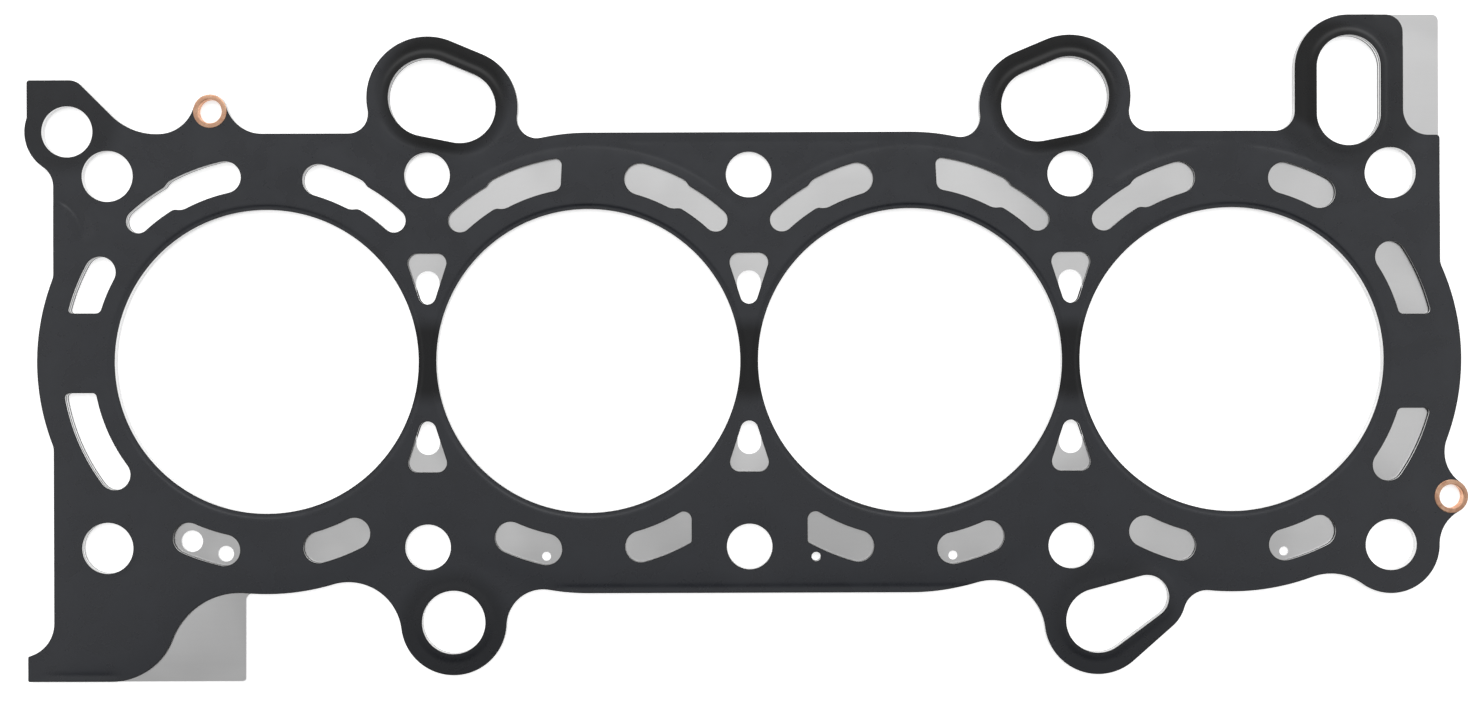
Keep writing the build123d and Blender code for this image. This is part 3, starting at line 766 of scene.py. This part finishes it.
def buildSheet(name, shapeName, pressed, sizes, finish, cadName=None, mirrorAt=None):
    # shapeName is the node whose outline and relief are used, cadName the node that it stands for
    shape = nodes[shapeName]
    low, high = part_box(shapeName)
    surface = surfaceOf(shape)
    loops = [refined(loop, sizes["edgeStep"]) for loop in cutEdges(shape)]
    rimCount = sum(len(loop) for loop in loops)
    relief = Relief(shape, surface, loops, sizes) if pressed else None
    thickness = sizes["thickness"] if pressed else high.z - low.z

    def isInside(point):
        return heightUnder(surface, point[0], point[1], high.z) is not None

    # the upper face has the fine points, and the one under it only those of the flats
    upper = triangles(loops, innerPoints(low, high, loops, sizes, relief, isInside), isInside)
    under = triangles(loops, innerPoints(low, high, loops, sizes, None, isInside), isInside)
    verts = []
    rim = []
    for (flatVerts, _, where), drop in ((upper, 0.0), (under, thickness)):
        z = relief.heights(flatVerts)[0] if pressed else np.full(len(flatVerts), high.z)
        verts += [(x, y, h - drop) for (x, y), h in zip(flatVerts, z)]
        edgeVerts = {where[i] for i in range(rimCount)}
        rim += [1.0 if i in edgeVerts else 0.0 for i in range(len(flatVerts))]
    first = len(upper[0])
    faces = upper[1] + [(first + c, first + b, first + a) for a, b, c in under[1]]
    below = {upper[2][i]: first + under[2][i] for i in range(rimCount)}
    sides = [side for face in upper[1] for side in sidesOf(face)]
    known = set(sides)
    faces += [(below[a], below[b], b, a) for a, b in sides if (b, a) not in known]
    if mirrorAt is not None:
        verts = [(x, y, 2 * mirrorAt - z) for x, y, z in verts]
        faces = [tuple(reversed(face)) for face in faces]
    mesh = bpy.data.meshes.new(name)
    mesh.from_pydata(verts, [], faces)
    # the rim attribute marks where the painted shade along the cut edges goes
    rimLayer = mesh.attributes.new("rim", "FLOAT", "POINT")
    rimLayer.data.foreach_set("value", rim)
    openEdges = smoothMesh(mesh, sizes["sharpAngle"])
    mesh.materials.append(finish)
    obj = bpy.data.objects.new(name, mesh)
    bpy.context.scene.collection.objects.link(obj)
    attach(obj, "root")
    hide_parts(cadName or shapeName)
    count = sum(len(face.vertices) - 2 for face in mesh.polygons)
    print(name, "made:", count, "triangles,", openEdges, "open edges")


centreLow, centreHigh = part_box("centre_sheet")
midPlane = (centreLow.z + centreHigh.z) / 2
buildSheet("upperSheet", "upper_sheet", True, sheetSet, coatedSteel)
buildSheet("lowerSheet", "upper_sheet", True, sheetSet, coatedSteel, "lower_sheet", midPlane)
buildSheet("centreSheet", "centre_sheet", False, sheetSet, bareSteel)
print("sheets finished")


# eyelets: one rolled ring shape, set on both ears
eyeletSizes = {
    "nodes": ("eyelet_left", "eyelet_right"),
    "holeRadius": 0.00345,
    "segments": 96,
    "wall": 0.00035,
    "roll": 0.00022,       # radius of the roll from the bore to the flange
    "rollSteps": 6,
    "flange": 0.0002,      # thickness of the flange
    "crown": 0.00008,      # how much the flange drops towards its rim
    "crownSteps": 8,
    "rimRound": (0.00006, 0.00004),      # how far the rim's upper and lower corners are drawn in
}


def eyeletOutline(sizes, width, height):
    # half section of the rolled ring, from the bore outwards, with the flange crowned
    half = height / 2
    roll = sizes["roll"]
    crown = sizes["crown"]
    top = []
    for i in range(sizes["rollSteps"] + 1):
        a = math.radians(180 - 90 * i / sizes["rollSteps"])
        top.append((roll + roll * math.cos(a), half - roll + roll * math.sin(a)))
    for i in range(1, sizes["crownSteps"]):
        t = i / sizes["crownSteps"]
        top.append((roll + (width - roll) * t, half - crown * t * t))
    upperCorner, lowerCorner = sizes["rimRound"]
    rim = half - sizes["flange"]
    top.append((width - upperCorner, half - crown))
    top.append((width, (half - crown + rim) / 2))
    top.append((width - lowerCorner, rim))
    top.append((sizes["wall"], rim))
    low = [(x, -z) for x, z in reversed(top)]
    return top + low


def makeProfile(points):
    curve = bpy.data.curves.new("eyeletSection", "CURVE")
    curve.dimensions = "3D"
    spline = curve.splines.new("POLY")
    spline.points.add(len(points) - 1)
    # taken backwards, so that the faces of the sweep look outwards
    for point, (x, z) in zip(spline.points, reversed(points)):
        point.co = (x, z, 0.0, 1.0)
    spline.use_cyclic_u = True
    obj = bpy.data.objects.new("eyeletSection", curve)
    bpy.context.scene.collection.objects.link(obj)
    return obj


eyeletInputs = {
    "Geometry": "NodeSocketGeometry",
    "Section": "NodeSocketObject",
    "Hole Radius": "NodeSocketFloat",
    "Segments": "NodeSocketInt",
    "Finish": "NodeSocketMaterial",
}


def eyeletTree():
    tree = bpy.data.node_groups.new("eyeletRings", "GeometryNodeTree")
    for name, kind in eyeletInputs.items():
        tree.interface.new_socket(name, in_out="INPUT", socket_type=kind)
    tree.interface.new_socket("Geometry", in_out="OUTPUT", socket_type="NodeSocketGeometry")
    start = addNode(tree, "NodeGroupInput")
    end = addNode(tree, "NodeGroupOutput")
    ring = addNode(tree, "GeometryNodeCurvePrimitiveCircle")
    section = addNode(tree, "GeometryNodeObjectInfo")
    sweep = addNode(tree, "GeometryNodeCurveToMesh")
    onPoints = addNode(tree, "GeometryNodeInstanceOnPoints")
    realize = addNode(tree, "GeometryNodeRealizeInstances")
    smooth = addNode(tree, "GeometryNodeSetShadeSmooth")
    finish = addNode(tree, "GeometryNodeSetMaterial")
    plug(
        tree,
        (start.outputs["Segments"], ring.inputs["Resolution"]),
        (start.outputs["Hole Radius"], ring.inputs["Radius"]),
        (start.outputs["Section"], section.inputs["Object"]),
        (ring.outputs["Curve"], sweep.inputs["Curve"]),
        (section.outputs["Geometry"], sweep.inputs["Profile Curve"]),
        (start.outputs["Geometry"], onPoints.inputs["Points"]),
        (sweep.outputs["Mesh"], onPoints.inputs["Instance"]),
        (onPoints.outputs["Instances"], realize.inputs["Geometry"]),
        (realize.outputs["Geometry"], smooth.inputs["Geometry"]),
        (smooth.outputs["Geometry"], finish.inputs["Geometry"]),
        (start.outputs["Finish"], finish.inputs["Material"]),
        (finish.outputs["Geometry"], end.inputs[0]),
    )
    return tree


def socketId(tree, name):
    for item in tree.interface.items_tree:
        if item.item_type == "SOCKET" and item.in_out == "INPUT" and item.name == name:
            return item.identifier


def makeEyelets(sizes):
    boxes = [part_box(name) for name in sizes["nodes"]]
    centres = [(low + high) / 2 for low, high in boxes]
    low, high = boxes[-1]
    width = (high.x - low.x) / 2 - sizes["holeRadius"]
    height = high.z - low.z
    section = makeProfile(eyeletOutline(sizes, width, height))
    seat = bpy.data.meshes.new("eyeletCentres")
    seat.from_pydata([tuple(c) for c in centres], [], [])
    holder = bpy.data.objects.new("eyeletHolder", seat)
    bpy.context.scene.collection.objects.link(holder)
    tree = eyeletTree()
    rings = holder.modifiers.new("rings", "NODES")
    rings.node_group = tree
    rings[socketId(tree, "Section")] = section
    rings[socketId(tree, "Hole Radius")] = sizes["holeRadius"]
    rings[socketId(tree, "Segments")] = sizes["segments"]
    rings[socketId(tree, "Finish")] = copper
    depsgraph = bpy.context.evaluated_depsgraph_get()
    mesh = bpy.data.meshes.new_from_object(holder.evaluated_get(depsgraph))
    bpy.data.objects.remove(holder)
    bpy.data.objects.remove(section)
    obj = bpy.data.objects.new("eyelets", mesh)
    bpy.context.scene.collection.objects.link(obj)
    return obj


eyelets = makeEyelets(eyeletSizes)
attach(eyelets, "root")
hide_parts(*eyeletSizes["nodes"])
print("eyelets made:", len(eyelets.data.vertices), "points")


# camera: straight down, as the photograph was taken
cameraSet = {
    "centre": (-0.00384, 0.00248),
    "faceHeight": 0.0014,
    "distance": 0.23,        # from the gasket's upper face
    "frameWidth": 0.4298,    # what the picture shows at that face
    "turn": -0.17,           # degrees
    "sensor": 36.0,
    "clipStart": 0.01,
}


def makeCamera(sizes):
    data = bpy.data.cameras.new("camera")
    data.sensor_width = sizes["sensor"]
    data.lens = sizes["sensor"] * sizes["distance"] / sizes["frameWidth"]
    data.clip_start = sizes["clipStart"]
    camera = bpy.data.objects.new("camera", data)
    camera.location = (*sizes["centre"], sizes["faceHeight"] + sizes["distance"])
    camera.rotation_euler = (0.0, 0.0, math.radians(sizes["turn"]))
    bpy.context.scene.collection.objects.link(camera)
    bpy.context.scene.camera = camera


makeCamera(cameraSet)

# floor: plain white sheet that keeps its shadow, lifted where the camera and reflections see it
floorSet = {"size": 8.0, "colour": (0.85, 0.85, 0.85), "lift": 0.60}


def makeFloorPaper(look):
    mat, tree, out = newMaterial("floorPaper")
    paper = addNode(tree, "ShaderNodeBsdfDiffuse")
    paper.inputs["Color"].default_value = (*look["colour"], 1.0)
    glow = addNode(tree, "ShaderNodeEmission")
    glow.inputs["Color"].default_value = (1.0, 1.0, 1.0, 1.0)
    ray = addNode(tree, "ShaderNodeLightPath")
    rays = [ray.outputs[name] for name in ("Is Camera Ray", "Is Glossy Ray", "Is Transmission Ray")]
    strength = mathNode(tree, "MULTIPLY", foldNodes(tree, "MAXIMUM", rays), look["lift"])
    together = addNode(tree, "ShaderNodeAddShader")
    plug(
        tree,
        (strength, glow.inputs["Strength"]),
        (paper.outputs[0], together.inputs[0]),
        (glow.outputs[0], together.inputs[1]),
        (together.outputs[0], out.inputs["Surface"]),
    )
    return mat


def makeFloor(sizes):
    side = sizes["size"] / 2
    corners = [(-side, -side, 0), (side, -side, 0), (side, side, 0), (-side, side, 0)]
    mesh = bpy.data.meshes.new("floor")
    mesh.from_pydata(corners, [], [(0, 1, 2, 3)])
    mesh.materials.append(makeFloorPaper(sizes))
    obj = bpy.data.objects.new("floor", mesh)
    bpy.context.scene.collection.objects.link(obj)
    return obj


floor = makeFloor(floorSet)

# soft light: an even tent, one wide bright panel towards the top of the picture, darker towards the bottom
lightSet = {
    "tent": 0.80,
    "panel": 1.80,           # added where the panel is
    "panelFrom": (0.35, 0.62),
    "dusk": -0.84,           # taken off towards the bottom of the picture
    "duskFrom": (-0.29, -0.49),
    "zenith": 0.10,          # a little more straight overhead
    "zenithFrom": (0.93, 0.99),
    "overhead": (0.20, 0.50),         # height at which all of these fade in
    "horizon": 0.25,         # added low down, where the cut edges look
}


def makeWorld(look):
    world = bpy.data.worlds.new("world")
    bpy.context.scene.world = world
    world.use_nodes = True
    tree = world.node_tree
    tree.nodes.clear()
    out = addNode(tree, "ShaderNodeOutputWorld")
    sky = addNode(tree, "ShaderNodeBackground")
    direction = addNode(tree, "ShaderNodeTexCoord")
    split = addNode(tree, "ShaderNodeSeparateXYZ")
    plug(tree, (direction.outputs["Generated"], split.inputs[0]))
    panel = rangeNode(tree, split.outputs["Y"], *look["panelFrom"], 0.0, look["panel"], True)
    dusk = rangeNode(tree, split.outputs["Y"], *look["duskFrom"], 0.0, look["dusk"], True)
    zenith = rangeNode(tree, split.outputs["Z"], *look["zenithFrom"], 0.0, look["zenith"], True)
    rise = rangeNode(tree, split.outputs["Z"], *look["overhead"], 0.0, 1.0, True)
    above = mathNode(tree, "MULTIPLY", foldNodes(tree, "ADD", [panel, dusk, zenith]), rise)
    horizon = rangeNode(tree, rise, 0.0, 1.0, look["horizon"], 0.0)
    level = foldNodes(tree, "ADD", [above, horizon, look["tent"]])
    plug(tree, (level, sky.inputs["Strength"]), (sky.outputs[0], out.inputs["Surface"]))


makeWorld(lightSet)
bpy.context.scene.view_settings.view_transform = "Standard"
print("stage, camera and lights set")
